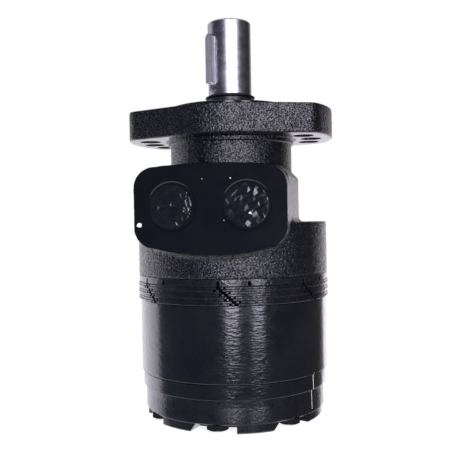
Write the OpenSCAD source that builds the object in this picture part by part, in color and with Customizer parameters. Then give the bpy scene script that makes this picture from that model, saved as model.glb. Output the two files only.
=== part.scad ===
// Roller-vane hydraulic motor with a keyed output shaft, a six-hole flange and a side port pad.
// Millimetres. Origin: centre of the flange's mounting face. +Z leaves along the output shaft,
// +X runs along the long axis of the flange, and the port pad faces -Y.

/* [Flange and pilot] */
// Bolt circle of the six flange holes
flange_pcd = 106.4; // [90:0.1:120]
// Diameter of each flange hole
flange_hole_d = 13.5; // [10:0.1:16]
// Angle from the long axis to the outer holes of each group of three
flange_hole_step = 19.5; // [15:0.5:30]
// Flange thickness
flange_t = 18.3; // [10:0.1:22]
// Radius of the rounded flange ends
flange_end_r = 66.9; // [60:0.1:75]
// Distance from the axis to the four slanted sides
flange_side_d = 50; // [44:0.5:56]
// Pilot diameter
pilot_d = 82.55; // [60:0.05:110]
// Pilot height
pilot_h = 2.8; // [2:0.1:8]

/* [Shaft] */
// Output shaft diameter
shaft_d = 28.575; // [22:0.005:32]
// Height of the shaft end above the mounting face
shaft_top = 60.6; // [45:0.1:80]
// Journal diameter under the lip
journal_d = 29.5; // [28:0.1:34]
// Key width and height
key_w = 6.35; // [5:0.01:8]
// Key length
key_l = 32; // [20:0.5:40]
// Height of the key's lower end
key_z = 19.5; // [16:0.5:26]
// Direction of the key, counted from +X towards +Y
key_angle = 229.5; // [0:0.5:360]

/* [Housing] */
// Neck radius under the flange
neck_r = 40; // [36:0.5:44]
// Top of the round lower body
shoulder_z = -72.5; // [-78:0.5:-66]
// Radius of the round lower body
body_r = 62; // [58:0.5:66]
// Rear face of the housing
rear_z = -104.5; // [-108:0.5:-98]

/* [Ports] */
// Distance of the pad face from the axis
pad_y = 65; // [55:0.5:75]
// Half the width of the port pad
pad_half_w = 45.6; // [40:0.1:50]
// Distance between the two ports
port_spacing = 44.45; // [40:0.05:50]
// Height of both ports
port_z = -62; // [-66:0.5:-54]
// Radius of the threaded port bore
port_r = 10.25; // [8:0.05:12]

/* [Stack] */
// Thickness of the wear plate
wear_t = 4.5; // [3:0.1:6]
// Number of thin manifold plates
plates = 8; // [8:1:8]
// Thickness of each manifold plate
plate_t = 1.375; // [1:0.005:2]
// Angle between the edge notches of one plate and the next
notch_shift = 1.4; // [0:0.1:4]
// Length of the stator ring
stator_l = 46.3; // [30:0.1:60]
// Radius of the stator ring
stator_r = 61; // [58:0.5:64]
// Thickness of the balance plate
balance_t = 9.4; // [6:0.1:12]
// Thickness of the end cover at its lugs
cover_t = 20; // [16:0.1:24]
// Radius of the end cover
cover_r = 58.4; // [54:0.1:62]
// Depth of the bolt recesses in the end cover
recess_t = 5.4; // [3:0.1:7]
// Bolt circle radius of the cover bolts
bolt_pcr = 51.5; // [50:0.5:54]
// Width of a bolt head across its flats
bolt_flats = 13; // [10:0.5:16]

/* [Roller set] */
// Radius of the circle through the roller centres
roller_pcr = 36.5; // [34:0.1:38]
// Roller radius
roller_r = 6.5; // [5:0.1:8]
// Eccentricity of the rotor
ecc = 2.9; // [2.5:0.1:3.2]

/* [Hidden] */
$fn = 72;
n_bolts = 7;
pitch = 360 / n_bolts;
bolt_r = 4;
bolt_hole_r = 4.5;
sr = shaft_d / 2;
jr = journal_d / 2;
man_z = rear_z - wear_t;
stator_z = man_z - plates * plate_t;
balance_z = stator_z - stator_l;
cover_z = balance_z - balance_t;
base_z = cover_z - cover_t;
seat_z = base_z + recess_t;
seal_r = 45.2;
first_roller = -90 + pitch / 2;
link_top_z = rear_z + 28.5;
link_low_z = stator_z - stator_l / 2 + 1.5;
link_len = link_top_z - link_low_z;
link_tilt = asin(ecc / link_len);
cup_z = rear_z + 5.5;
lip_z = 10.2;

paint = [0.06, 0.065, 0.075];
steel = [0.72, 0.72, 0.73];
bearing = [0.6, 0.61, 0.63];
black_rubber = [0.03, 0.03, 0.03];

function arc(c, r, a0, a1, n) =
    [for (i = [0:n]) c + r * [cos(a0 + (a1 - a0) * i / n), sin(a0 + (a1 - a0) * i / n)]];
function turn(p, a) = [p[0] * cos(a) - p[1] * sin(a), p[0] * sin(a) + p[1] * cos(a)];

// ring of rectangular section between two heights
module ring(r_out, r_in, z0, z1) {
    translate([0, 0, z0]) difference() {
        cylinder(r = r_out, h = z1 - z0, $fn = 96);
        translate([0, 0, -1]) cylinder(r = r_in, h = z1 - z0 + 2, $fn = 96);
    }
}

// disc with both outer edges chamfered
module edged_disc(r, z0, z1, c) {
    rotate_extrude($fn = 120)
        polygon([[0, z0], [r - c, z0], [r, z0 + c], [r, z1 - c], [r - c, z1], [0, z1]]);
}

module at_bolts() {
    for (k = [0:n_bolts - 1]) rotate([0, 0, -90 + k * pitch]) translate([bolt_pcr, 0, 0]) children();
}

module bolt_holes(z0, z1, r) {
    at_bolts() translate([0, 0, z0]) cylinder(r = r, h = z1 - z0, $fn = 32);
}

// ---- housing ----

function flange_quarter() = concat(
    arc([0, 0], flange_end_r, 0, 24.2, 8),
    arc((flange_end_r - 10) * [cos(24.2), sin(24.2)], 10, 30, 69, 6),
    arc([0, 0], flange_side_d, 69, 90, 7));

module flange_outline() {
    for (m = [0, 1]) mirror([m, 0]) for (n = [0, 1]) mirror([0, n])
        polygon(concat([[0, 0]], flange_quarter()));
}

module pad_outline(w, top, low, bow_top, bow_low, r) {
    top_arc = [for (i = [0:10]) let (x = (w - r) * (1 - i / 5))
        [x, top + bow_top * (1 - pow(x / (w - r), 2))]];
    low_arc = [for (i = [0:10]) let (x = (w - r) * (i / 5 - 1))
        [x, low - bow_low * (1 - pow(x / (w - r), 2))]];
    polygon(concat(arc([w - r, low + r], r, -90, 0, 8), arc([w - r, top - r], r, 0, 90, 8),
        top_arc, arc([r - w, top - r], r, 90, 180, 8), arc([r - w, low + r], r, 180, 270, 8), low_arc));
}

module port_block() {
    block_w = pad_half_w - 0.6;
    block_top = port_z + 23.6;
    corner_r = 12.5;
    translate([0, -pad_y + 12, 0]) rotate([90, 0, 0]) linear_extrude(12)
        pad_outline(pad_half_w, port_z + 23.5, port_z - 24.7, 1.5, 3.9, corner_r);
    translate([0, -2, 0]) rotate([90, 0, 0]) linear_extrude(pad_y - 13)
        polygon(concat(arc([corner_r - block_w, port_z - 11.5], corner_r, 180, 270, 8),
            arc([block_w - corner_r, port_z - 11.5], corner_r, 270, 360, 8),
            [[block_w, block_top - 6], [block_w - 6, block_top], [6 - block_w, block_top],
                [-block_w, block_top - 6]]));
}

module port_cut(x) {
    translate([x, -pad_y, port_z]) rotate([-90, 0, 0]) {
        translate([0, 0, -1]) cylinder(r = 14.5, h = 1.6, $fn = 64);
        cylinder(r = 12, h = 3.2, $fn = 64);
        cylinder(r = port_r, h = 19, $fn = 64);
        cylinder(r = 6, h = 36, $fn = 40);
    }
    translate([x, -33.3, rear_z - 1]) cylinder(r = 3.5, h = port_z - rear_z + 1, $fn = 32);
}

module flange_holes() {
    for (a = [0, 180]) for (s = [-1:1]) rotate([0, 0, a + s * flange_hole_step])
        translate([flange_pcd / 2, 0, -flange_t - 8]) cylinder(r = flange_hole_d / 2, h = flange_t + 9);
}

module housing() {
    color(paint) difference() {
        union() {
            rotate_extrude($fn = 120) polygon([[18, pilot_h], [pilot_d / 2 - 0.5, pilot_h],
                [pilot_d / 2, pilot_h - 0.5], [pilot_d / 2, -8], [42, -8], [42, -flange_t - 1],
                [41, -flange_t - 3], [neck_r, -flange_t - 4], [neck_r, shoulder_z + 6],
                [neck_r + 1.8, shoulder_z + 1.8], [neck_r + 6, shoulder_z], [body_r - 2, shoulder_z],
                [body_r, shoulder_z - 2], [body_r, rear_z], [18, rear_z]]);
            translate([0, 0, -flange_t]) linear_extrude(flange_t) flange_outline();
            port_block();
        }
        flange_holes();
        translate([0, 0, pilot_h - 0.8]) cylinder(r1 = 22, r2 = 23, h = 1, $fn = 96);
        translate([0, 0, -9]) cylinder(r = 22, h = 20, $fn = 96);
        ring(23, 21.5, -0.2, 1.2);
        translate([0, 0, -39]) cylinder(r = 21, h = 40, $fn = 96);
        translate([0, 0, rear_z + 30.5]) cylinder(r = 27, h = -39 - rear_z - 30.5, $fn = 96);
        translate([0, 0, rear_z - 1]) cylinder(r = 29, h = 33, $fn = 96);
        ring(seal_r + 0.9, seal_r - 0.9, rear_z - 1, rear_z + 1.6);
        port_cut(-port_spacing / 2);
        port_cut(port_spacing / 2);
        bolt_holes(rear_z - 1, rear_z + 22, bolt_r);
    }
}

// ---- front seal and bearings ----

module seal_retaining_ring() {
    color(bearing) difference() {
        ring(22.95, 20.2, 0, 1);
        translate([18, -2, -1]) cube([8, 4, 4]);
    }
}

module shaft_seal() {
    color(black_rubber) rotate_extrude($fn = 96) polygon([[22, -0.2], [17.4, -0.2], [17, -1.4],
        [jr + 0.9, -1.6], [jr + 0.05, -2.4], [jr + 0.05, -3.2], [jr + 1.4, -4.2], [jr + 1.4, -5.4],
        [jr + 3.4, -5.4], [jr + 3.6, -2.6], [20.2, -2.6], [20.2, -7], [22, -7]]);
}

module seal_backup_washer() { color(bearing) ring(22, jr + 0.5, -9, -7); }
module front_bearing_cup() { color(bearing) difference() {
    ring(21, jr + 1, -37, -13);
    ring(jr + 3.04, jr - 1, -36.2, -13.8);
} }

// cage with pockets and its needles, between an inner and an outer track
module needle_row(r_in, r_out, z0, z1, n) {
    nr = (r_out - r_in) / 2 - 0.02;
    mid = (r_in + r_out) / 2;
    difference() {
        ring(mid + nr * 0.45, mid - nr * 0.45, z0, z1);
        for (i = [0:n - 1]) rotate([0, 0, i * 360 / n]) translate([mid, 0, z0 + 1.6])
            cylinder(r = nr + 0.08, h = z1 - z0 - 3.2, $fn = 24);
    }
    for (i = [0:n - 1]) rotate([0, 0, i * 360 / n]) translate([mid, 0, z0 + 1.7])
        cylinder(r = nr, h = z1 - z0 - 3.4, $fn = 24);
}

module front_bearing_needles() { color(bearing) needle_row(jr, jr + 3.04, -36, -14, 20); }
module rear_bearing_cup() { color(bearing) ring(29, 26.04, rear_z + 4.5, rear_z + 29.5); }
module rear_bearing_needles() { color(bearing) needle_row(22.5, 26.04, rear_z + 6.5, rear_z + 28.5, 26); }
module thrust_washer_front() { color(bearing) ring(26, jr + 0.6, -40, -39); }
module thrust_washer_rear() { color(bearing) ring(26, jr, -44, -43); }

module thrust_bearing() {
    color(bearing) {
        difference() {
            ring(25.6, 16, -42, -41);
            for (i = [0:23]) rotate([0, 0, i * 15]) translate([17.4, -1.53, -43]) cube([6.8, 3.06, 3]);
        }
        for (i = [0:23]) rotate([0, 0, i * 15]) translate([17.5, 0, -41.5]) rotate([0, 90, 0])
            cylinder(r = 1.47, h = 6.6, $fn = 24);
    }
}

// ---- shaft and drive ----

// spline section: n teeth between two radii, with the tooth's width at its root and tip
function spline(n, r0, r1, w0, w1) = [for (i = [0:n - 1])
    for (p = [[r0, -w0 / 2], [r1, -w1 / 2], [r1, w1 / 2], [r0, w0 / 2]]) turn(p, i * 360 / n)];

module key_slot() {
    gap = 0.2;
    rotate([0, 0, key_angle]) intersection() {
        translate([0, key_w / 2 + gap, 0]) rotate([90, 0, 0]) linear_extrude(key_w + 2 * gap)
            polygon([[sr - 3.2, key_z], [sr - 3.2, 58], [20, 58], [20, key_z - 6.6],
                [sr + 0.6, key_z - 6.4], [sr - 1.4, key_z - 4.4], [sr - 2.8, key_z - 1.8]]);
        rotate([90, 0, 90]) linear_extrude(30) union() {
            translate([-key_w / 2 - 1, 10]) square([key_w + 2, key_z + key_l - 10 - key_w / 2]);
            translate([0, key_z + key_l - key_w / 2]) circle(r = key_w / 2 + gap);
        }
    }
}

module output_shaft() {
    color(steel) difference() {
        rotate_extrude($fn = 96) polygon([[0, shaft_top], [sr - 0.9, shaft_top],
            [sr, shaft_top - 0.9], [sr, lip_z], [jr, lip_z - 0.5], [jr, -44], [24, -44], [24, rear_z + 34.5],
            [22.5, rear_z + 32.5], [22.5, cup_z + 1], [21.5, cup_z], [0, cup_z]]);
        key_slot();
        translate([0, 0, shaft_top - 22]) cylinder(r = 4, h = 23, $fn = 40);
        translate([0, 0, shaft_top - 1.6]) cylinder(r1 = 4, r2 = 5.7, h = 1.7, $fn = 40);
        translate([0, 0, cup_z - 1]) cylinder(r = 17, h = 8, $fn = 64);
        translate([0, 0, cup_z]) rotate([0, 0, first_roller]) linear_extrude(37)
            polygon(spline(12, 12.7, 14.8, 4.2, 3.4));
        translate([0, 0, cup_z + 36.5]) cylinder(r = 15, h = 6, $fn = 64);
        translate([0, 0, cup_z + 42.4]) cylinder(r1 = 15, r2 = 5, h = 6, $fn = 64);
    }
}

module shaft_key() {
    color([0.8, 0.8, 0.81]) rotate([0, 0, key_angle]) translate([sr - 3.18, 0, 0]) rotate([90, 0, 90])
        linear_extrude(key_w) union() {
            translate([-key_w / 2, key_z]) square([key_w, key_l - key_w / 2]);
            translate([0, key_z + key_l - key_w / 2]) circle(r = key_w / 2, $fn = 40);
        }
}

module dust_lip() {
    color(black_rubber) rotate_extrude($fn = 96) translate([0, lip_z]) polygon([[sr, 0], [sr + 0.5, 0.1],
        [16.2, 0.1], [16.5, 0.4], [16.4, 0.9], [sr + 0.7, 1.1], [sr + 0.5, 1.8], [sr, 1.8]]);
}

module link_end(z) {
    intersection() {
        translate([0, 0, z - 10]) linear_extrude(20) polygon(spline(12, 10.8, 14.2, 3.6, 2.4));
        translate([0, 0, z]) rotate_extrude($fn = 64) polygon([[0, -10], [12.6, -10], [13.8, -6],
            [14.3, -2], [14.3, 2], [13.8, 6], [12.6, 10], [0, 10]]);
    }
}

// the link wobbles: its upper end stays on the shaft axis and its lower end follows the rotor
module drive_link() {
    color(steel) translate([0, 0, link_top_z]) rotate([0, 0, first_roller]) rotate([0, -link_tilt, 0]) {
        link_end(0);
        link_end(-link_len);
        rotate_extrude($fn = 64) polygon([[0, 12], [7, 12], [8, 11], [10, 9], [10, -link_len - 9],
            [8, -link_len - 11], [7, -link_len - 12], [0, -link_len - 12]]);
    }
}

module eccentric() { rotate([0, 0, first_roller]) translate([ecc, 0, 0]) children(); }

module drive_spacer() {
    color(steel) eccentric() translate([0, 0, balance_z + 0.15]) cylinder(r = 12.3, h = 7.5, $fn = 64);
}

function psi(t) = atan2(sin(-6 * t), roller_pcr / (7 * ecc) - cos(-6 * t));
function rotor_at(t, r) = [
    roller_pcr * cos(t) - r * cos(t + psi(t)) - ecc * cos(7 * t),
    -roller_pcr * sin(t) + r * sin(t + psi(t)) + ecc * sin(7 * t)];

module rotor() {
    color(steel) eccentric() translate([0, 0, balance_z + 0.1]) difference() {
        linear_extrude(stator_l - 0.2) difference() {
            polygon([for (i = [0:167]) rotor_at(i * 360 / 168, roller_r + 0.08)]);
            polygon(spline(12, 12.7, 14.8, 4.2, 3.4));
        }
        for (i = [0:11]) rotate([0, 0, i * 30 + 15]) translate([20.5, 0, stator_l - 8])
            cylinder(r = 2, h = 10, $fn = 24);
    }
}

// ---- stack of plates and rings ----

// small notches in the edge of plate k, each plate's turned a little further than the last
module edge_notches(k, z0, z1) {
    for (i = [0:n_bolts - 1]) rotate([0, 0, -87.7 + i * pitch + k * notch_shift]) {
        translate([body_r - 4, -1.3, z0]) cube([7, 2.6, z1 - z0]);
        rotate([0, 0, k % 2 == 1 ? 3.3 : -3.3]) translate([body_r - 3, -0.7, z0]) cube([6, 1.4, z1 - z0]);
    }
}

module wear_plate() {
    color(paint) difference() {
        edged_disc(body_r, man_z, rear_z, 0.4);
        translate([0, 0, man_z - 1]) cylinder(r = 17, h = wear_t + 2, $fn = 64);
        bolt_holes(man_z - 1, rear_z + 1, bolt_hole_r);
        for (s = [-1, 1]) translate([s * port_spacing / 2, -33.3, man_z - 1])
            cylinder(r = 3.5, h = wear_t + 2);
        for (i = [0:n_bolts - 1]) for (a = [3.6, 20.6]) rotate([0, 0, -90 + i * pitch + a])
            translate([body_r - 4, -0.9, man_z - 1]) cube([7, 1.8, wear_t - 0.4]);
    }
}

module manifold_plate(k) {
    z1 = man_z - (k - 1) * plate_t;
    z0 = z1 - plate_t;
    color(paint) difference() {
        edged_disc(body_r + (k % 3) * 0.25, z0, z1, 0.25);
        translate([0, 0, z0 - 1]) cylinder(r = 15.5, h = plate_t + 2, $fn = 64);
        bolt_holes(z0 - 1, z1 + 1, bolt_hole_r);
        edge_notches(k, z0 - 1, z1 + 1);
        for (i = [0:n_bolts - 1]) rotate([0, 0, -90 + i * pitch]) if (k % 2 == 1)
            translate([31, 0, z0 - 1]) cylinder(r = 2.4, h = plate_t + 2, $fn = 24);
        else translate([28.5, -1.9, z0 - 1]) cube([9.5, 3.8, plate_t + 2]);
    }
}

module manifold_plate_1() { manifold_plate(1); }
module manifold_plate_2() { manifold_plate(2); }
module manifold_plate_3() { manifold_plate(3); }
module manifold_plate_4() { manifold_plate(4); }
module manifold_plate_5() { manifold_plate(5); }
module manifold_plate_6() { manifold_plate(6); }
module manifold_plate_7() { manifold_plate(7); }
module manifold_plate_8() { manifold_plate(8); }

module stator_ring() {
    color(paint) difference() {
        edged_disc(stator_r, balance_z, stator_z, 0.5);
        translate([0, 0, balance_z - 1]) linear_extrude(stator_l + 2) {
            circle(r = roller_pcr - 0.2, $fn = 96);
            for (k = [0:n_bolts - 1]) rotate(first_roller + k * pitch)
                translate([roller_pcr, 0]) circle(r = roller_r + 0.05, $fn = 48);
        }
        bolt_holes(balance_z - 1, stator_z + 1, bolt_hole_r);
        ring(seal_r + 0.9, seal_r - 0.9, stator_z - 1.6, stator_z + 1);
        ring(seal_r + 0.9, seal_r - 0.9, balance_z - 1, balance_z + 1.6);
    }
}

module roller(k) {
    color(steel) rotate([0, 0, first_roller + (k - 1) * pitch]) translate([roller_pcr, 0, balance_z + 0.1])
        cylinder(r = roller_r, h = stator_l - 0.2, $fn = 48);
}

module roller_1() { roller(1); }
module roller_2() { roller(2); }
module roller_3() { roller(3); }
module roller_4() { roller(4); }
module roller_5() { roller(5); }
module roller_6() { roller(6); }
module roller_7() { roller(7); }

module balance_plate() {
    color(paint) difference() {
        edged_disc(60, cover_z, balance_z, 0.5);
        bolt_holes(cover_z - 1, balance_z + 1, bolt_hole_r);
        translate([0, 0, cover_z - 1]) cylinder(r = 20, h = 3, $fn = 64);
    }
}

// bolt recess between two lugs; the lug on one side of it has a slanted end
module bolt_recess() {
    side_a = pitch / 2 - 13.1;
    depth = recess_t + 1;
    translate([0, 0, base_z - 1]) linear_extrude(depth) difference() {
        polygon([[0, 0], [62, -62 * tan(side_a)], [62, 62 * tan(side_a)]]);
        circle(r = 43, $fn = 96);
    }
    rotate([0, 0, -side_a]) translate([44, 0, base_z - 1]) rotate([90, 0, 90]) linear_extrude(20)
        polygon([[0.5, 0], [0.5, depth + 0.4], [-0.75 * depth, 0]]);
}

// the end cover stands on seven lugs, one midway between each two bolts
module end_cover() {
    color(paint) difference() {
        rotate_extrude($fn = 120) polygon([[0, base_z], [cover_r - 1.8, base_z],
            [cover_r - 0.9, base_z + 0.9], [cover_r - 0.9, seat_z - 0.2], [cover_r, seat_z + 0.7],
            [cover_r, cover_z - 0.5], [cover_r - 0.5, cover_z], [0, cover_z]]);
        bolt_holes(base_z - 1, cover_z + 1, bolt_hole_r);
        for (k = [0:n_bolts - 1]) rotate([0, 0, -90 + k * pitch]) bolt_recess();
        ring(seal_r + 0.9, seal_r - 0.9, cover_z - 1.6, cover_z + 1);
        translate([0, 0, base_z - 1]) cylinder(r = 26, h = 2.2, $fn = 96);
    }
}

// low-headed bolts with a chamfered hexagon
module cover_bolts() {
    head_r = bolt_flats / sqrt(3);
    head_z = base_z + 1.6;
    color(paint) at_bolts() {
        intersection() {
            translate([0, 0, head_z]) rotate([0, 0, 12]) cylinder(r = head_r, h = seat_z - head_z, $fn = 6);
            translate([0, 0, head_z]) rotate_extrude($fn = 48) polygon([[0, 0], [bolt_flats / 2 - 0.4, 0],
                [head_r + 0.1, 1], [head_r + 0.1, seat_z - head_z], [0, seat_z - head_z]]);
        }
        translate([0, 0, seat_z - 0.2]) cylinder(r = bolt_r - 0.05, h = rear_z + 19 - seat_z, $fn = 32);
    }
}

module body_seal_rings() {
    color(black_rubber) {
        for (z = [rear_z, stator_z - 1.5, balance_z, cover_z - 1.5])
            ring(seal_r + 0.8, seal_r - 0.8, z, z + 1.5);
    }
}

// ---- port plugs: thin shipping discs that sit in the port counterbores ----

module plug(x) {
    color([0.05, 0.05, 0.055]) translate([x, -pad_y, port_z]) rotate([90, 0, 0]) difference() {
        translate([0, 0, -3.1]) cylinder(r = 11.95, h = 2.9, $fn = 64);
        difference() {
            translate([0, 0, -0.9]) cylinder(r = 9.6, h = 2, $fn = 64);
            translate([0, 0, -2]) cylinder(r = 8.2, h = 4, $fn = 64);
        }
        translate([-7, -0.6, -1]) cube([14, 1.2, 2]);
    }
}

module port_plug_left() { plug(-port_spacing / 2); }
module port_plug_right() { plug(port_spacing / 2); }

housing();
seal_retaining_ring();
shaft_seal();
seal_backup_washer();
front_bearing_cup();
front_bearing_needles();
thrust_washer_front();
thrust_bearing();
thrust_washer_rear();
rear_bearing_cup();
rear_bearing_needles();
output_shaft();
shaft_key();
dust_lip();
drive_link();
drive_spacer();
rotor();
wear_plate();
manifold_plate_1();
manifold_plate_2();
manifold_plate_3();
manifold_plate_4();
manifold_plate_5();
manifold_plate_6();
manifold_plate_7();
manifold_plate_8();
stator_ring();
roller_1();
roller_2();
roller_3();
roller_4();
roller_5();
roller_6();
roller_7();
balance_plate();
end_cover();
cover_bolts();
body_seal_rings();
port_plug_left();
port_plug_right();
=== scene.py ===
"""Looks of the hydraulic motor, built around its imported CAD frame."""
import math
import random

import bpy
import numpy as np
from mathutils import Matrix, Vector, geometry, noise


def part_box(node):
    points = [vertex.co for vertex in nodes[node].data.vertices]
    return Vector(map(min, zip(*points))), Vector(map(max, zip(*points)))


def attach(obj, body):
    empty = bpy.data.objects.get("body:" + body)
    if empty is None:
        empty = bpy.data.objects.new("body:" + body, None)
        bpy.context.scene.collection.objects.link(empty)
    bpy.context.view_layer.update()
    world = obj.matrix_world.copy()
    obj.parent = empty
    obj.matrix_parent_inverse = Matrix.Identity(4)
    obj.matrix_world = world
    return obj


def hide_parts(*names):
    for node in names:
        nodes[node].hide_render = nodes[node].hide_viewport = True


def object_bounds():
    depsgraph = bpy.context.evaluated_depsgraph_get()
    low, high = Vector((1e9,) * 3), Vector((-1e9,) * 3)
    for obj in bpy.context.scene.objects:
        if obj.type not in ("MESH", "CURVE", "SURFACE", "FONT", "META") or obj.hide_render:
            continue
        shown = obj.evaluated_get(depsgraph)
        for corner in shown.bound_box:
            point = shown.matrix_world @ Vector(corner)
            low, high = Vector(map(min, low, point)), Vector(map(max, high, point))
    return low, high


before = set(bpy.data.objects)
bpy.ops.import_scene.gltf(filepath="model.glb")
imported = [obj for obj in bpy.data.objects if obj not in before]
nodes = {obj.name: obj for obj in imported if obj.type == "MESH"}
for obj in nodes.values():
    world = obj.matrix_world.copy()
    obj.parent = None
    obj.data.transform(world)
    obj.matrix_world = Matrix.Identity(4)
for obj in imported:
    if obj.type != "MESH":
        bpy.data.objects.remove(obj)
cad_low, cad_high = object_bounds()

MM = 0.001

# ---- driving sizes, in millimetres: from the CAD nodes' boxes, or as the CAD has them ----
HOUSING_LOW, HOUSING_HIGH = (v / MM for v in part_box("housing"))
PLUG_LOW, PLUG_HIGH = (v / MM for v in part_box("port_plug_right"))
LIP_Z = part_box("dust_lip")[0].z / MM
FLANGE_END_R, FLANGE_SIDE, FLANGE_T = HOUSING_HIGH.x, 50.0, 18.3
HOLE_PCR, HOLE_R, HOLE_STEP = 53.2, 6.75, math.radians(19.5)
PILOT_R, PILOT_H = 41.275, HOUSING_HIGH.z
NECK_R, SHOULDER_Z, BODY_R, REAR_Z = 40.0, -72.5, 62.0, HOUSING_LOW.z
PAD_Y, PAD_HALF_W, CORNER_R = -HOUSING_LOW.y, 45.6, 12.5
PAD_ABOVE, PAD_BELOW, BOW_ABOVE, BOW_BELOW = 23.5, 24.7, 1.5, 3.9
PORT_X, PORT_Z, PORT_R = 22.225, (PLUG_LOW.z + PLUG_HIGH.z) / 2, 10.25
STATOR_R, BALANCE_R, COVER_R = 61.0, 60.0, 58.4
STATOR_LOW_Z, BALANCE_LOW_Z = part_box("stator_ring")[0].z / MM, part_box("balance_plate")[0].z / MM

# ---- the casting's surface: voxel size, and the radius that its inner corners get ----
VOXEL = 0.85
FILLET = 1.6

# ---- camera: level, 12 degrees to the right of the pad's normal ----
CAM_AZIMUTH = math.radians(12.0)
CAM_DISTANCE = 0.45
CAM_Z = -0.0704
CAM_LENS = 52.7
CAM_ROLL = math.radians(-1.0)
CAM_SHIFT = (-0.005, -0.0217)


# ---------------------------------------------------------------- meshes

def link(name, data):
    obj = bpy.data.objects.new(name, data)
    bpy.context.scene.collection.objects.link(obj)
    return obj


def mesh_object(name, verts_mm, faces):
    mesh = bpy.data.meshes.new(name)
    mesh.from_pydata([Vector(v) * MM for v in verts_mm], [], faces)
    mesh.update()
    return link(name, mesh)


def revolve(name, profile, segments=96):
    """A closed solid of revolution about Z. profile goes from one axis point to the other, upwards."""
    inner = profile[1:-1]
    verts = [(0, 0, profile[0][1]), (0, 0, profile[-1][1])]
    for k in range(segments):
        a = math.tau * k / segments
        verts += [(r * math.cos(a), r * math.sin(a), z) for r, z in inner]
    n, faces = len(inner), []
    for k in range(segments):
        a, b = 2 + k * n, 2 + (k + 1) % segments * n
        faces.append((0, b, a))
        faces += [(a + i, b + i, b + i + 1, a + i + 1) for i in range(n - 1)]
        faces.append((a + n - 1, b + n - 1, 1))
    return mesh_object(name, verts, faces)


def prism(name, outline, low, high, axis="z"):
    """A closed solid from an outline, extruded along z, or along y with the outline in x and z."""
    n = len(outline)
    if axis == "z":
        verts = [(x, y, low) for x, y in outline] + [(x, y, high) for x, y in outline]
    else:
        verts = [(x, high, z) for x, z in outline] + [(x, low, z) for x, z in outline]
    faces = [tuple(reversed(range(n))), tuple(range(n, 2 * n))]
    faces += [(i, (i + 1) % n, n + (i + 1) % n, n + i) for i in range(n)]
    return mesh_object(name, verts, faces)


def bake(obj):
    """Replaces the object's mesh with what its modifiers make of it."""
    mesh = bpy.data.meshes.new_from_object(obj.evaluated_get(bpy.context.evaluated_depsgraph_get()))
    old, name = obj.data, obj.data.name
    obj.modifiers.clear()
    obj.data = mesh
    bpy.data.meshes.remove(old)
    mesh.name = name
    return obj


def remesh(obj, size_mm):
    mod = obj.modifiers.new("voxels", "REMESH")
    mod.mode, mod.voxel_size = "VOXEL", size_mm * MM
    return bake(obj)


def smooth(obj, times):
    mod = obj.modifiers.new("smooth", "SMOOTH")
    mod.factor, mod.iterations = 0.5, times
    return bake(obj)


def points(mesh):
    co = np.zeros(len(mesh.vertices) * 3)
    mesh.vertices.foreach_get("co", co)
    return co.reshape(-1, 3)


def set_points(mesh, co):
    mesh.vertices.foreach_set("co", co.astype(np.float32).ravel())
    mesh.update()


def normals(mesh):
    n = np.zeros(len(mesh.vertices) * 3)
    mesh.vertex_normals.foreach_get("vector", n)
    return n.reshape(-1, 3)


def inflate(obj, by_mm):
    set_points(obj.data, points(obj.data) + normals(obj.data) * by_mm * MM)
    return obj


def merge(name, objects):
    """One object from several, each mesh kept as it is."""
    verts, faces = [], []
    for o in objects:
        base = len(verts)
        verts += [o.matrix_world @ v.co for v in o.data.vertices]
        faces += [tuple(base + i for i in p.vertices) for p in o.data.polygons]
        bpy.data.objects.remove(o)
    mesh = bpy.data.meshes.new(name)
    mesh.from_pydata(verts, [], faces)
    mesh.update()
    return link(name, mesh)


def cut(obj, tool, operation="DIFFERENCE"):
    mod = obj.modifiers.new("cut", "BOOLEAN")
    mod.operation, mod.solver, mod.object = operation, "MANIFOLD", tool
    bake(obj)
    bpy.data.objects.remove(tool)
    return obj


def soften(obj, angle=32):
    """Smooth shading with sharp edges kept where two faces meet at more than the angle."""
    obj.data.shade_smooth()
    obj.data.set_sharp_from_angle(angle=math.radians(angle))
    return obj


def fractal(p, size_mm, octaves=3, seed=0.0):
    """Signed noise at each point, with features of about size_mm."""
    s = 1.0 / (size_mm * MM)
    off = Vector((seed, seed * 1.7, seed * 0.3))
    return np.array([noise.fractal(Vector(v) * s + off, 1.0, 2.0, octaves) for v in p])


def edge_bevel(obj, width_mm, segments=2, angle=35):
    """Rounds the edges of a CAD node with modifiers only, so its own vertices stay as packed."""
    weld = obj.modifiers.new("weld", "WELD")
    weld.merge_threshold = 2e-6
    bev = obj.modifiers.new("edges", "BEVEL")
    bev.width, bev.segments = width_mm * MM, segments
    bev.limit_method, bev.angle_limit = "ANGLE", math.radians(angle)
    bev.harden_normals = True
    bev.use_clamp_overlap = True
    even = obj.modifiers.new("normals", "WEIGHTED_NORMAL")
    even.keep_sharp = True
    return obj


# ---------------------------------------------------------------- materials

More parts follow.
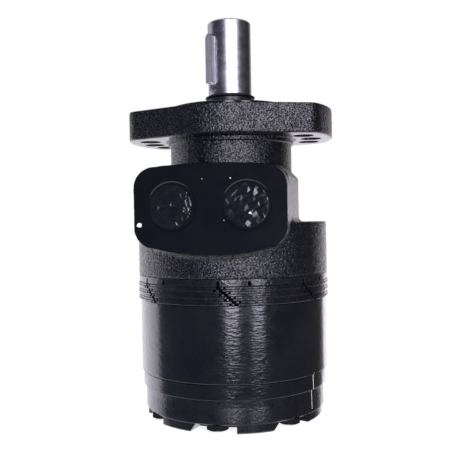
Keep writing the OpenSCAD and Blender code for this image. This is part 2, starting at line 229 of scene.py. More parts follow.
class Shader:
    """Builds one material: a Principled shader and the procedural nodes that feed it."""

    def __init__(self, name, color, roughness, metallic=0.0, **sockets):
        self.mat = bpy.data.materials.new(name)
        self.mat.use_nodes = True
        self.tree = self.mat.node_tree
        self.bsdf = self.tree.nodes["Principled BSDF"]
        self.bsdf.inputs["Base Color"].default_value = (*color, 1)
        self.bsdf.inputs["Roughness"].default_value = roughness
        self.bsdf.inputs["Metallic"].default_value = metallic
        for key, value in sockets.items():
            self.bsdf.inputs[key.replace("_", " ")].default_value = value
        self.coords = self.tree.nodes.new("ShaderNodeTexCoord").outputs["Object"]

    def node(self, kind, **values):
        n = self.tree.nodes.new(kind)
        for key, value in values.items():
            if hasattr(n, key):
                setattr(n, key, value)
            else:
                n.inputs[key.replace("_", " ")].default_value = value
        return n

    def wire(self, a, b):
        self.tree.links.new(a, b)

    def noise(self, size_mm, detail=3.0, rough=0.55, stretch=(1, 1, 1), distortion=0.0):
        """Noise with features of about size_mm; stretch makes them longer along an axis."""
        n = self.node("ShaderNodeTexNoise", Scale=1.0 / (size_mm * MM), Detail=detail,
                      Roughness=rough, Distortion=distortion)
        m = self.node("ShaderNodeMapping")
        m.inputs["Scale"].default_value = tuple(1.0 / s for s in stretch)
        self.wire(self.coords, m.inputs["Vector"])
        self.wire(m.outputs["Vector"], n.inputs["Vector"])
        return n.outputs["Fac"]

    def ramp(self, source, low, high, out_low, out_high):
        r = self.node("ShaderNodeMapRange")
        for key, value in zip(("From Min", "From Max", "To Min", "To Max"), (low, high, out_low, out_high)):
            r.inputs[key].default_value = value
        self.wire(source, r.inputs["Value"])
        return r.outputs["Result"]

    def rough_from(self, source, low, high, out_low, out_high):
        self.wire(self.ramp(source, low, high, out_low, out_high), self.bsdf.inputs["Roughness"])

    def color_from(self, source, low, high, dark, light):
        self.wire(self.two_colors(source, low, high, dark, light), self.bsdf.inputs["Base Color"])

    def height(self):
        """Height above the mounting face, in millimetres."""
        split = self.node("ShaderNodeSeparateXYZ")
        self.wire(self.coords, split.inputs["Vector"])
        scaled = self.node("ShaderNodeMath", operation="MULTIPLY")
        scaled.inputs[1].default_value = 1 / MM
        self.wire(split.outputs["Z"], scaled.inputs[0])
        return scaled.outputs["Value"]

    def radius(self):
        """Distance from the shaft's axis, in millimetres."""
        flat = self.node("ShaderNodeVectorMath", operation="MULTIPLY")
        flat.inputs[1].default_value = (1 / MM, 1 / MM, 0)
        self.wire(self.coords, flat.inputs[0])
        length = self.node("ShaderNodeVectorMath", operation="LENGTH")
        self.wire(flat.outputs["Vector"], length.inputs[0])
        return length.outputs["Value"]

    def two_colors(self, source, low, high, dark, light):
        r = self.node("ShaderNodeValToRGB")
        r.color_ramp.elements[0].position, r.color_ramp.elements[1].position = low, high
        r.color_ramp.elements[0].color = (*dark, 1)
        r.color_ramp.elements[1].color = (*light, 1)
        self.wire(source, r.inputs["Fac"])
        return r.outputs["Color"]

    def blend_value(self, share, source, other, socket):
        """Feeds a socket with the source where the share is 0 and a plain value where it is 1."""
        mix = self.node("ShaderNodeMix", data_type="FLOAT")
        self.wire(share, mix.inputs[0])
        self.wire(source, mix.inputs[2])
        mix.inputs[3].default_value = other
        self.wire(mix.outputs[0], self.bsdf.inputs[socket])

    def blend_color(self, share, source, other, socket):
        mix = self.node("ShaderNodeMix", data_type="RGBA")
        self.wire(share, mix.inputs[0])
        self.wire(source, mix.inputs[6])
        mix.inputs[7].default_value = (*other, 1)
        self.wire(mix.outputs[2], self.bsdf.inputs[socket])

    def bump(self, source, height_mm, strength=1.0):
        b = self.node("ShaderNodeBump")
        b.inputs["Distance"].default_value = height_mm * MM
        b.inputs["Strength"].default_value = strength
        self.wire(source, b.inputs["Height"])
        last = getattr(self, "last_bump", None)
        if last:
            self.wire(last, b.inputs["Normal"])
        self.last_bump = b.outputs["Normal"]
        self.wire(self.last_bump, self.bsdf.inputs["Normal"])
        self.wire(self.last_bump, self.bsdf.inputs["Coat Normal"])


BLACK = (0.0045, 0.005, 0.0075)
BLACK_WORN = (0.008, 0.0085, 0.011)


def cast_paint():
    s = Shader("cast_paint", BLACK, 0.3, Coat_Weight=0.08, Coat_Roughness=0.12)
    s.bump(s.noise(3.4, 2.0), 0.08)
    s.bump(s.noise(1.1, 2.0, 0.55), 0.58)
    grain = s.noise(0.9, 1.0, 0.5)
    s.wire(s.ramp(grain, 0.4, 0.6, 0.12, 1.0), s.bsdf.inputs["Specular IOR Level"])
    s.rough_from(s.noise(2.0), 0.35, 0.7, 0.16, 0.3)
    s.color_from(s.noise(9.0), 0.35, 0.7, BLACK, BLACK_WORN)
    return s.mat


def machined_paint():
    s = Shader("machined_paint", BLACK, 0.18, Coat_Weight=0.1, Coat_Roughness=0.08)
    s.bump(s.noise(3.0, 2.0), 0.015)
    s.rough_from(s.noise(14.0), 0.3, 0.7, 0.11, 0.17)
    s.color_from(s.noise(25.0), 0.3, 0.7, (0.003, 0.0036, 0.0065), (0.0055, 0.0055, 0.008))
    return s.mat


def barrel_paint():
    s = Shader("barrel_paint", BLACK, 0.2, Coat_Weight=0.5, Coat_Roughness=0.07)
    s.bump(s.noise(1.2, 2.0, 0.5, stretch=(3.6, 3.6, 1.0)), 0.15)
    s.rough_from(s.noise(6.0), 0.3, 0.7, 0.16, 0.28)
    s.color_from(s.noise(20.0), 0.35, 0.7, (0.0035, 0.0045, 0.008), BLACK_WORN)
    return s.mat


def cover_paint():
    s = Shader("cover_paint", BLACK, 0.26, Coat_Weight=0.4, Coat_Roughness=0.14)
    s.bump(s.ramp(s.height(), -180, -189, 0, 1), 0.5)
    s.bump(s.noise(1.3, 2.5, 0.6, stretch=(1.6, 1.6, 1)), 0.16)
    s.rough_from(s.noise(5.0), 0.3, 0.7, 0.2, 0.38)
    s.color_from(s.noise(11.0), 0.35, 0.7, BLACK, BLACK_WORN)
    return s.mat


def plate_paint():
    """Paint of the thin plates; the bottoms of their edge notches get no specular or coat reflection, as
    painted shade.
    """
    s = Shader("plate_paint", BLACK, 0.24, Coat_Weight=0.4, Coat_Roughness=0.1)
    # painted shade: inside this radius, at the notch bottoms, specular and coat fall to nothing so the
    # recesses read black
    outside_painted_shade = s.ramp(s.radius(), BODY_R - 1.6, BODY_R - 0.9, 0, 1)
    s.wire(s.ramp(outside_painted_shade, 0, 1, 0, 0.5), s.bsdf.inputs["Specular IOR Level"])
    s.wire(s.ramp(outside_painted_shade, 0, 1, 0, 0.4), s.bsdf.inputs["Coat Weight"])
    s.bump(s.noise(1.7, 2.5, 0.6, stretch=(1.8, 1.8, 1)), 0.26)
    s.rough_from(s.noise(3.0), 0.3, 0.7, 0.16, 0.36)
    s.color_from(s.noise(7.0), 0.35, 0.7, BLACK, BLACK_WORN)
    return s.mat


def ground_steel():
    """Ground bar above the dust lip; below it the journal is painted over with the housing."""
    bright, dull = (0.66, 0.65, 0.69), (0.6, 0.59, 0.63)
    s = Shader("ground_steel", bright, 0.2, metallic=1.0, Anisotropic=0.4)
    s.bump(s.noise(0.6, 1.0, 0.5, stretch=(60, 60, 1)), 0.0006)
    painted = s.ramp(s.height(), LIP_Z + 0.6, LIP_Z + 0.4, 0, 1)
    worn = s.ramp(s.noise(6.0, 4.0), 0.3, 0.7, 0.24, 0.32)
    s.wire(s.ramp(painted, 0, 1, 1, 0), s.bsdf.inputs["Metallic"])
    s.blend_value(painted, worn, 0.3, "Roughness")
    s.blend_color(painted, s.two_colors(s.noise(8.0, 4.0, stretch=(1, 1, 2.5)), 0.3, 0.65, dull, bright),
                  (0.02, 0.021, 0.026), "Base Color")
    return s.mat


def key_steel():
    s = Shader("key_steel", (0.6, 0.59, 0.62), 0.4, metallic=1.0)
    s.bump(s.noise(0.6, 2.0, stretch=(1, 1, 14)), 0.012)
    s.rough_from(s.noise(3.0), 0.3, 0.7, 0.34, 0.48)
    s.color_from(s.noise(4.0), 0.3, 0.7, (0.46, 0.45, 0.48), (0.62, 0.61, 0.63))
    return s.mat


def inner_steel():
    s = Shader("inner_steel", (0.5, 0.5, 0.52), 0.3, metallic=1.0)
    s.bump(s.noise(1.5), 0.01)
    s.rough_from(s.noise(4.0), 0.3, 0.7, 0.24, 0.4)
    s.color_from(s.noise(6.0), 0.3, 0.7, (0.38, 0.38, 0.4), (0.55, 0.55, 0.57))
    return s.mat


def underside_paint():
    s = Shader("underside_paint", BLACK, 0.1, Coat_Weight=0.35, Coat_Roughness=0.05)
    s.bump(s.noise(6.0, 2.0), 0.02)
    s.rough_from(s.noise(5.0), 0.3, 0.7, 0.08, 0.16)
    s.color_from(s.noise(12.0), 0.3, 0.7, BLACK, BLACK_WORN)
    return s.mat


def rubber():
    s = Shader("rubber", (0.01, 0.01, 0.011), 0.5)
    s.bump(s.noise(0.8), 0.03)
    s.rough_from(s.noise(3.0), 0.3, 0.7, 0.4, 0.6)
    s.color_from(s.noise(3.0), 0.3, 0.7, (0.006, 0.006, 0.007), (0.014, 0.014, 0.015))
    return s.mat


def plug_film():
    s = Shader("plug_film", (0.005, 0.006, 0.009), 0.16, Coat_Weight=0.2, Coat_Roughness=0.05)
    s.bump(s.noise(1.2, 3.0, 0.6), 0.05)
    s.rough_from(s.noise(3.0), 0.3, 0.7, 0.08, 0.2)
    s.color_from(s.noise(6.0), 0.3, 0.7, (0.004, 0.005, 0.008), (0.009, 0.010, 0.014))
    return s.mat


def pale_marks_and_glints():
    """Bare, pale spots where the paint has come off; the same pale material also gives the painted
    highlights on the plug films' facets.
    """
    s = Shader("pale_marks_and_glints", (0.85, 0.83, 0.86), 0.5)
    s.bump(s.noise(0.7), 0.05)
    s.rough_from(s.noise(1.5), 0.3, 0.7, 0.4, 0.6)
    s.color_from(s.noise(0.9), 0.35, 0.55, (0.5, 0.48, 0.5), (0.95, 0.93, 0.95))
    return s.mat


CAST, MACHINED, BARREL, PLATE = cast_paint(), machined_paint(), barrel_paint(), plate_paint()
COVER, STEEL, KEY, INNER = cover_paint(), ground_steel(), key_steel(), inner_steel()
RUBBER, FILM, PALE_MARKS_AND_GLINTS, UNDERSIDE = rubber(), plug_film(), pale_marks_and_glints(), underside_paint()


def paint(obj, material):
    obj.data.materials.clear()
    obj.data.materials.append(material)
    return obj


# ---------------------------------------------------------------- housing

def arc(center, radius, start, end, steps):
    """Points of an arc; angles in degrees."""
    out = []
    for i in range(steps + 1):
        a = math.radians(start + (end - start) * i / steps)
        out.append((center[0] + radius * math.cos(a), center[1] + radius * math.sin(a)))
    return out


def flange_outline():
    """One quarter in three arcs: rounded end, corner, and the bowed long side; the rest is mirrored."""
    corner_at, corner_r = math.radians(24.2), 10
    to_corner = FLANGE_END_R - corner_r
    c = (to_corner * math.cos(corner_at), to_corner * math.sin(corner_at))
    quarter = (arc((0, 0), FLANGE_END_R, 0, 24.2, 8) + arc(c, corner_r, 30, 69, 6)
               + arc((0, 0), FLANGE_SIDE, 69, 90, 7))
    half = quarter + [(-x, y) for x, y in reversed(quarter[:-1])]
    return half + [(x, -y) for x, y in reversed(half[1:-1])]


def pad_outline(grow=0.0):
    """The pad in x and z: rounded corners, with the top and bottom edges bowed outwards."""
    half_w, r = PAD_HALF_W + grow, CORNER_R + grow
    top, low = PORT_Z + PAD_ABOVE + grow, PORT_Z - PAD_BELOW - grow
    span = half_w - r
    top_arc = [(span * (1 - i / 5), top + BOW_ABOVE * (1 - (1 - i / 5) ** 2)) for i in range(1, 10)]
    low_arc = [(span * (i / 5 - 1), low - BOW_BELOW * (1 - (1 - i / 5) ** 2)) for i in range(1, 10)]
    return (arc((span, low + r), r, -90, 0, 8) + arc((span, top - r), r, 0, 90, 8) + top_arc
            + arc((-span, top - r), r, 90, 180, 8) + arc((-span, low + r), r, 180, 270, 8) + low_arc)


def block_outline(half_w, top, low, slant=6):
    """The port block behind the pad: upper corners cut off, lower corners rounded like the pad's."""
    span, r = half_w - CORNER_R, CORNER_R
    return (arc((span, low + r), r, -90, 0, 8) + [(half_w, top - slant), (half_w - slant, top),
            (slant - half_w, top), (-half_w, top - slant)] + arc((-span, low + r), r, 180, 270, 8))


def turned(tool, place):
    """Moves a cutter's mesh to its place."""
    tool.data.transform(place)
    return tool


def port_cutter(x):
    profile = [(0, -36), (6, -36), (6, -19), (PORT_R, -17), (PORT_R, -3.2), (12, -3.2), (12, -0.9),
               (12.3, -0.6), (14.1, -0.6), (14.8, 0), (14.8, 4), (0, 4)]
    place = Matrix.Translation(Vector((x, -PAD_Y, PORT_Z)) * MM) @ Matrix.Rotation(math.radians(90), 4, "X")
    return turned(revolve("port_cutter", profile, 96), place)


# each chip: x and z of its middle, size, seed of its outline
PAD_CHIPS = [((-42.0, -72.6), 1.9, 1), ((13.0, -46.4), 0.5, 2),
             ((-3.6, -46.4), 0.3, 3), ((8.9, -70.5), 0.35, 4)]
CHIP_DEPTH = 0.2


def chip_outline(center, size, seed):
    """A small ragged patch; the largest is wider than it is tall."""
    rng = random.Random(seed)
    out = []
    for k in range(7):
        a = math.tau * k / 7
        r = size * rng.uniform(0.7, 1.15)
        out.append((center[0] + r * math.cos(a), center[1] + 0.75 * r * math.sin(a)))
    return out


def pad_rim_cutter():
    """A ring of triangular section that takes the sharp edge off the pad."""
    loops = []
    for grow, y in ((-0.45, -PAD_Y - 0.05), (0.6, -PAD_Y + 1.0), (0.6, -PAD_Y - 0.05)):
        loops.append([(x, y, z) for x, z in pad_outline(grow)])
    n = len(loops[0])
    verts, faces = loops[0] + loops[1] + loops[2], []
    for k in range(3):
        a, b = k * n, (k + 1) % 3 * n
        faces += [(a + i, b + i, b + (i + 1) % n, a + (i + 1) % n) for i in range(n)]
    return mesh_object("pad_rim", verts, faces)


def cast_blank():
    """The casting before machining: flange, neck, port block and round body run into each other."""
    extra = 0.45
    parts = [
        revolve("turned", [(0, REAR_Z - extra), (BODY_R, REAR_Z - extra), (BODY_R, SHOULDER_Z + 0.3),
                           (46, SHOULDER_Z + 0.3), (42.2, SHOULDER_Z + 1.8), (NECK_R, SHOULDER_Z + 5),
                           (NECK_R, -10), (0, -10)], 180),
        prism("flange", flange_outline(), -FLANGE_T, extra),
        prism("pad", pad_outline(), -PAD_Y - extra, -52.5, "y"),
        prism("block", block_outline(PAD_HALF_W - 0.6, PORT_Z + 23.6, PORT_Z - 24), -54, -2, "y"),
    ]
    blank = remesh(merge("housing_casting", parts), VOXEL)
    smooth(inflate(blank, FILLET), 1)
    remesh(blank, VOXEL)
    smooth(inflate(blank, -FILLET), 3)
    co, n = points(blank.data), normals(blank.data)
    lumps = fractal(co, 6.0, 2, 3.1) * 0.07 + fractal(co, 2.2, 2, 9.4) * 0.07
    set_points(blank.data, co + n * (lumps * MM)[:, None])
    return blank


def machine(blank):
    """Cuts the machined faces, bore, ports and holes; adds the pilot and the collar under the flange."""
    far = 200
    square = [(-far, -far), (far, -far), (far, far), (-far, far)]
    cut(blank, prism("above", square, 0, far))
    cut(blank, prism("below", square, -far - 50, REAR_Z))
    cut(blank, prism("front", square, -far, -PAD_Y, "y"))
    cut(blank, pad_rim_cutter())
    pilot = revolve("pilot", [(0, -4), (PILOT_R, -4), (PILOT_R, PILOT_H - 0.5),
                              (PILOT_R - 0.5, PILOT_H), (0, PILOT_H)], 160)
    cut(blank, pilot, "UNION")
    collar = revolve("collar", [(0, -21.7), (40.9, -21.7), (41.5, -21.1), (41.5, -17), (0, -17)], 160)
    cut(blank, collar, "UNION")
    top_of_bore = REAR_Z + 32
    bore = [(0, REAR_Z - 5), (29, REAR_Z - 5), (29, top_of_bore), (27, top_of_bore), (27, -39), (21, -39),
            (21, -9), (22, -9), (22, -0.2), (23, -0.2), (23, 1.2), (22, 1.2), (22, 2.1), (22.9, 3.0),
            (22.9, 6), (0, 6)]
    cut(blank, revolve("bore", bore, 128))
    for side in (-1, 1):
        cut(blank, port_cutter(side * PORT_X))
    for center, size, seed in PAD_CHIPS:
        cut(blank, prism("chip", chip_outline(center, size, seed), -PAD_Y - 1, -PAD_Y + CHIP_DEPTH, "y"))
    for end in (0, math.pi):
        for k in (-1, 0, 1):
            a = end + k * HOLE_STEP
            hole = revolve("hole", [(0, -40), (HOLE_R, -40), (HOLE_R, 8), (0, 8)], 48)
            place = Matrix.Translation(Vector((math.cos(a), math.sin(a), 0)) * HOLE_PCR * MM)
            cut(blank, turned(hole, place))
    return blank


def casting():
    """The housing: cast outside, with machined faces, a bare bore and a few chips in the pad's paint."""
    obj = machine(cast_blank())
    mesh = obj.data
    set_points(mesh, np.clip(points(mesh), np.array(HOUSING_LOW) * MM, np.array(HOUSING_HIGH) * MM))
    mesh.materials.clear()
    for m in (CAST, MACHINED, INNER, PALE_MARKS_AND_GLINTS, UNDERSIDE):
        mesh.materials.append(m)
    machined, inner, chip, underside = 1, 2, 3, 4
    index = np.zeros(len(mesh.polygons), np.int32)
    center = np.zeros(len(mesh.polygons) * 3)
    normal = np.zeros(len(mesh.polygons) * 3)
    mesh.polygons.foreach_get("center", center)
    mesh.polygons.foreach_get("normal", normal)
    center, normal = center.reshape(-1, 3) / MM, normal.reshape(-1, 3)
    radius = np.hypot(center[:, 0], center[:, 1])
    flat = (center[:, 2] > -0.02) | (center[:, 2] < REAR_Z + 0.02) | (center[:, 1] < -PAD_Y + 0.7)
    index[flat] = machined
    index[(radius < 31) & (center[:, 2] < 1.9)] = inner
    from_port = np.hypot(np.abs(center[:, 0]) - PORT_X, center[:, 2] - PORT_Z)
    index[(from_port < PORT_R + 0.3) & (center[:, 1] > -PAD_Y + 3) & (center[:, 1] < -28)] = inner
    under = (normal[:, 2] < -0.93) & (center[:, 2] < -FLANGE_T + 0.8) & (center[:, 2] > -FLANGE_T - 0.8)
    index[under & (radius > 43.5)] = underside
    for (x, z), size, _ in PAD_CHIPS:
        near = (np.hypot(center[:, 0] - x, center[:, 2] - z) < 1.4 * size) & (center[:, 1] < -PAD_Y + 1)
        index[near & (center[:, 1] > -PAD_Y + 0.02)] = chip
    mesh.polygons.foreach_set("material_index", index)
    soften(obj)
    flat_faces = flat & (np.abs(normal[:, 1:]).max(1) > 0.999)
    mesh.polygons.foreach_set("use_smooth", ~flat_faces)
    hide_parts("housing")
    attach(obj, "housing_body")
    return obj


casting()

# ---------------------------------------------------------------- port plugs under their film

PLUG_R, FILM_FRONT, FILM_BACK, PLUG_BACK = 11.9, 0.3, 0.58, 3.1
RIM_STEPS = 72


def film_cap(side, shift, radius, spacing, depth_at, glint_flecks, seed):
    """A port plug with a creased film over its front.

    spacing gives the distance between the film's points, and depth_at a point's depth below the pad.
    """
    rng = random.Random(seed)
    port = Vector((side * PORT_X, PORT_Z))
    middle = port + Vector((shift, 0))
    rim, foot = [], []
    for k in range(RIM_STEPS):
        a = math.tau * k / RIM_STEPS
        ray = Vector((math.cos(a), math.sin(a)))
        rim.append(middle + ray * radius * rng.uniform(0.985, 1.0))
        foot.append(port + ray * PLUG_R)
    inside = []
    for _ in range(6000):
        p = middle + Vector((rng.uniform(-radius, radius), rng.uniform(-radius, radius)))
        if (p - middle).length > radius - 0.5:
            continue
        if all((p - q).length > spacing(p - port) for q in inside):
            inside.append(p)
    flat, _, tris, *_ = geometry.delaunay_2d_cdt(rim + inside, [], [list(range(RIM_STEPS))], 1, 1e-6)
    depths = [FILM_FRONT if i < RIM_STEPS else depth_at(p - port, rng) for i, p in enumerate(flat)]
    front = [(p.x, -PAD_Y + depth, p.y) for p, depth in zip(flat, depths)]
    n = len(front)
    back = [(p.x, -PAD_Y + FILM_BACK, p.y) for p in rim]
    neck = [(p.x, -PAD_Y + FILM_BACK, p.y) for p in foot]
    end = [(p.x, -PAD_Y + PLUG_BACK, p.y) for p in foot]
    faces = [tuple(t) for t in tris]
    at_neck, at_end = n + RIM_STEPS, n + 2 * RIM_STEPS
    for k in range(RIM_STEPS):
        j = (k + 1) % RIM_STEPS
        faces.append((k, n + k, n + j, j))
        faces.append((n + k, at_neck + k, at_neck + j, n + j))
        faces.append((at_neck + k, at_end + k, at_end + j, at_neck + j))
    faces.append(tuple(at_end + k for k in range(RIM_STEPS)))
    word = "left" if side < 0 else "right"
    obj = mesh_object("film_plug_" + word, front + back + neck + end, faces)
    obj.data.materials.append(FILM)
    obj.data.materials.append(PALE_MARKS_AND_GLINTS)
    for poly in obj.data.polygons[:len(tris)]:
        c = Vector((poly.center.x, poly.center.z)) / MM - port
        # painted highlights: facets near each glint fleck get the pale material, standing in for glints on
        # the film
        if any((c - Vector(f[:2])).length < f[2] for f in glint_flecks):
            poly.material_index = 1
    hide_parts("port_plug_" + word)
    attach(obj, f"plug_{word}_body")
    return obj


def taut_depth(p, rng):
    """Flat film with one level crease and a wrinkled edge on its right."""
    if p.x > 3.0 and p.length > 8.0:
        return 0.25 + 0.1 * math.sin(2.6 * p.length + 1.5 * math.sin(0.8 * p.y)) + rng.uniform(-0.02, 0.02)
    if abs(p.y + 0.3) < 0.6 and p.x < 4:
        return 0.56
    return 0.2 + rng.uniform(-0.012, 0.012)


def crumpled_depth(p, rng):
    """Film in sharp folds, calmer on its left and near its rim."""
    if p.x < -2 and p.length < 10.5:
        return rng.uniform(0.25, 0.45)
    return rng.uniform(0.06, 0.6) if p.length < 10.5 else rng.uniform(0.15, 0.35)


# the last list of each call: painted highlights on the film, as x and z from the port's middle and a radius
film_cap(-1, -1.0, 13.0, lambda p: 0.7 if p.x > 3.0 else 1.4, taut_depth,
         [(-3.4, 5.6, 0.3), (0.6, -11.0, 0.3)], 11)
film_cap(1, -0.2, 12.9, lambda p: 1.1 + 2.0 * abs(math.sin(0.9 * p.x + 0.5 * p.y)), crumpled_depth,
         [(2.0, -4.3, 0.7), (-0.8, -10.0, 0.8)], 5)

# ---------------------------------------------------------------- small marks in the paint

# each mark: angle in degrees from the pad's side towards +X, height, radius of the face, size
DRIPS = [(-3.0, -115.7, BODY_R, 0.9), (-0.2, -116.4, BODY_R, 0.5), (-31.5, -113.1, BODY_R, 0.55),
         (-27.5, -113.4, BODY_R, 0.5), (49.2, -109.4, BODY_R + 0.1, 0.8), (2.2, -177.7, COVER_R, 0.7),
         (4.8, -152.0, STATOR_R, 0.6), (49.2, -177.4, COVER_R, 0.45), (54.2, -178.2, COVER_R, 0.45)]
RUN_ANGLE, RUN_LEAN, RUN_HALF_W = 64.9, 0.045, 0.2


def on_side(degrees, z, radius):
    a = math.radians(degrees)
    return Vector((radius * math.sin(a), -radius * math.cos(a), z))


def mark_on_housing(piece):
    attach(piece, "housing_body")


def paint_drips():
    """Small pointed drops of paint."""
    verts, faces = [], []
    rng = random.Random(21)
    for angle, z, radius, size in DRIPS:
        base = len(verts)
        tip = on_side(angle, z - 0.15 * size, radius + 0.4 * size)
        for k in range(9):
            a, r = math.tau * k / 9, size * rng.uniform(0.75, 1.1)
            around_axis = angle + math.degrees(r * math.cos(a) / radius)
            verts.append(on_side(around_axis, z + r * math.sin(a), radius - 0.1))
        verts += [tip, on_side(angle, z, radius - 0.4)]
        for k in range(9):
            j = base + (k + 1) % 9
            faces += [(base + k, j, base + 9), (j, base + k, base + 10)]
    mark_on_housing(paint(mesh_object("paint_drips", verts, faces), PLATE))


def paint_run():
    """A thin pale line down the stator ring, balance plate and end cover."""
    levels = [(STATOR_LOW_Z + 1.5, STATOR_R), (STATOR_LOW_Z, STATOR_R - 0.4),
              (STATOR_LOW_Z - 0.5, BALANCE_R), (BALANCE_LOW_Z + 0.5, BALANCE_R),
              (BALANCE_LOW_Z - 0.4, COVER_R), (BALANCE_LOW_Z - 12, COVER_R)]
    verts = []
    for z, radius in levels:
        middle = RUN_ANGLE - RUN_LEAN * (z + 164)
        for across, out in ((-1, -0.2), (-0.8, 0.1), (0.8, 0.1), (1, -0.2)):
            verts.append(on_side(middle + math.degrees(across * RUN_HALF_W / radius), z, radius + out))
    faces = [(3, 2, 1, 0), tuple(len(verts) - 4 + i for i in range(4))]
    for i in range(len(levels) - 1):
        a, b = 4 * i, 4 * i + 4
        faces += [(a + k, a + (k + 1) % 4, b + (k + 1) % 4, b + k) for k in range(4)]
    mark_on_housing(paint(mesh_object("paint_run", verts, faces), PALE_MARKS_AND_GLINTS))


paint_drips()
paint_run()

# ---------------------------------------------------------------- CAD nodes that stay

REPLACED = ("housing", "port_plug_left", "port_plug_right")
for n, obj in nodes.items():
    if n not in REPLACED:
        soften(obj)

# width of each visible node's rounded edges, in millimetres, and its material
BEVELED = {"stator_ring": (0.5, BARREL), "balance_plate": (0.5, BARREL), "end_cover": (0.5, COVER),
           "cover_bolts": (0.5, COVER), "wear_plate": (0.18, PLATE),
           **{f"manifold_plate_{k}": (0.18, PLATE) for k in range(1, 9)},
           "output_shaft": (0.3, STEEL), "shaft_key": (0.35, KEY)}
RUBBER_NODES = ("dust_lip", "shaft_seal", "body_seal_rings")
for n, (width, material) in BEVELED.items():
    paint(edge_bevel(nodes[n], width), material)
for n in RUBBER_NODES:
    paint(nodes[n], RUBBER)
for n, obj in nodes.items():
    if n not in REPLACED and n not in BEVELED and n not in RUBBER_NODES:
        paint(obj, INNER)

# ---------------------------------------------------------------- camera, light and floor

TOWARDS_CAMERA = Vector((math.sin(CAM_AZIMUTH), -math.cos(CAM_AZIMUTH), 0))


def around(degrees):
    """A level direction, in degrees to the camera's right of the line from the object to the camera."""
    return Matrix.Rotation(math.radians(degrees), 3, "Z") @ TOWARDS_CAMERA


def add_camera():
    data = bpy.data.cameras.new("camera")
    data.lens, data.sensor_width = CAM_LENS, 36
    data.shift_x, data.shift_y = CAM_SHIFT
    data.clip_start = 0.01
    cam = link("camera", data)
    cam.location = TOWARDS_CAMERA * CAM_DISTANCE + Vector((0, 0, CAM_Z))
    level = (-TOWARDS_CAMERA).to_track_quat("-Z", "Y").to_matrix().to_4x4()
    cam.rotation_euler = (level @ Matrix.Rotation(CAM_ROLL, 4, "Z")).to_euler()
    bpy.context.scene.camera = cam


STRIP_TINT, STRIP_H, STRIP_Z = (0.95, 0.92, 1.1), 1.25, 0.345


def softbox(name, degrees, width, strength, distance=1.2):
    """An upright strip light that faces the object's axis."""
    data = bpy.data.lights.new(name, "AREA")
    data.shape, data.size, data.size_y = "RECTANGLE", width, STRIP_H
    data.energy, data.color = strength * width * STRIP_H * math.pi, STRIP_TINT
    obj = link(name, data)
    out = around(degrees)
    obj.location = out * distance + Vector((0, 0, STRIP_Z))
    obj.rotation_euler = (-out).to_track_quat("-Z", "Y").to_euler()


# the room around the object: degrees as around() counts them, and the light that comes from there
ROOM = [(-180, (0.86, 0.83, 0.9)), (-168, (1.0, 0.96, 1.05)), (-148, (1.5, 1.45, 1.6)),
        (-125, (1.9, 1.85, 2.05)), (-108, (1.9, 1.85, 2.1)), (-101, (0.11, 0.125, 0.19)),
        (-40, (0.072, 0.08, 0.125)),
        (60, (0.07, 0.07, 0.085)), (128, (0.08, 0.076, 0.08)), (139, (0.26, 0.2, 0.17)),
        (145, (2.2, 2.1, 2.3)), (160, (1.4, 1.35, 1.45)), (179.9, (0.86, 0.83, 0.9))]
BRIGHTEST = 3.5


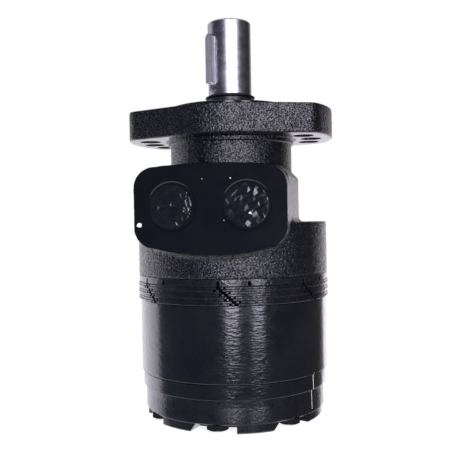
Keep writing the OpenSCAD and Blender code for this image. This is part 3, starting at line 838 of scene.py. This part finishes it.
def studio_world():
    """White behind and to the left, dark in front and to the right; plain white where seen directly."""
    world = bpy.data.worlds.new("studio")
    bpy.context.scene.world = world
    world.use_nodes = True
    tree = world.node_tree
    tree.nodes.clear()
    add, wire = tree.nodes.new, tree.links.new
    coords = add("ShaderNodeTexCoord").outputs["Generated"]
    turn = add("ShaderNodeVectorRotate")
    turn.rotation_type = "Z_AXIS"
    turn.inputs["Angle"].default_value = -CAM_AZIMUTH
    wire(coords, turn.inputs["Vector"])
    split = add("ShaderNodeSeparateXYZ")
    wire(turn.outputs["Vector"], split.inputs["Vector"])
    minus = add("ShaderNodeMath")
    minus.operation = "MULTIPLY"
    minus.inputs[1].default_value = -1
    wire(split.outputs["Y"], minus.inputs[0])
    angle = add("ShaderNodeMath")
    angle.operation = "ARCTAN2"
    wire(split.outputs["X"], angle.inputs[0])
    wire(minus.outputs["Value"], angle.inputs[1])
    share = add("ShaderNodeMapRange")
    share.inputs["From Min"].default_value, share.inputs["From Max"].default_value = -math.pi, math.pi
    wire(angle.outputs["Value"], share.inputs["Value"])
    ramp = add("ShaderNodeValToRGB")
    wire(share.outputs["Result"], ramp.inputs["Fac"])
    elevation = split.outputs["Z"]
    elements = ramp.color_ramp.elements
    while len(elements) < len(ROOM):
        elements.new(0.5)
    for e, (degrees, color) in zip(elements, ROOM):
        e.position = (degrees + 180) / 360
        e.color = (*(c / BRIGHTEST for c in color), 1)
    down = add("ShaderNodeMapRange")
    down.inputs["From Min"].default_value, down.inputs["From Max"].default_value = -0.45, -0.6
    wire(elevation, down.inputs["Value"])
    table = add("ShaderNodeMix")
    table.data_type = "RGBA"
    table.inputs[7].default_value = (0.3, 0.3, 0.31, 1)
    wire(down.outputs["Result"], table.inputs[0])
    wire(ramp.outputs["Color"], table.inputs[6])
    seen = add("ShaderNodeLightPath").outputs["Is Camera Ray"]
    lit, plain = add("ShaderNodeBackground"), add("ShaderNodeBackground")
    wire(table.outputs[2], lit.inputs["Color"])
    fade = add("ShaderNodeMapRange")
    fade.inputs["From Min"].default_value, fade.inputs["From Max"].default_value = -0.01, 0.16
    fade.inputs["To Min"].default_value, fade.inputs["To Max"].default_value = BRIGHTEST, 0.32 * BRIGHTEST
    wire(elevation, fade.inputs["Value"])
    wire(fade.outputs["Result"], lit.inputs["Strength"])
    plain.inputs["Color"].default_value = (1, 1, 1, 1)
    pick, out = add("ShaderNodeMixShader"), add("ShaderNodeOutputWorld")
    wire(seen, pick.inputs["Fac"])
    wire(lit.outputs["Background"], pick.inputs[1])
    wire(plain.outputs["Background"], pick.inputs[2])
    wire(pick.outputs["Shader"], out.inputs["Surface"])


def floor():
    base = cad_low.z / MM
    obj = revolve("floor", [(0, base - 2), (700, base - 2), (700, base), (0, base)], 96)
    s = Shader("floor_white", (0.9, 0.9, 0.9), 0.8)
    s.bsdf.inputs["Emission Color"].default_value = (1, 1, 1, 1)
    s.bsdf.inputs["Emission Strength"].default_value = 0.8
    paint(obj, s.mat)
    obj.visible_glossy = False


add_camera()
studio_world()
floor()
softbox("strip_a", -2, 0.30, 8.2)
softbox("strip_b", 27.5, 0.28, 6.8)
bpy.context.scene.view_settings.view_transform = "Standard"
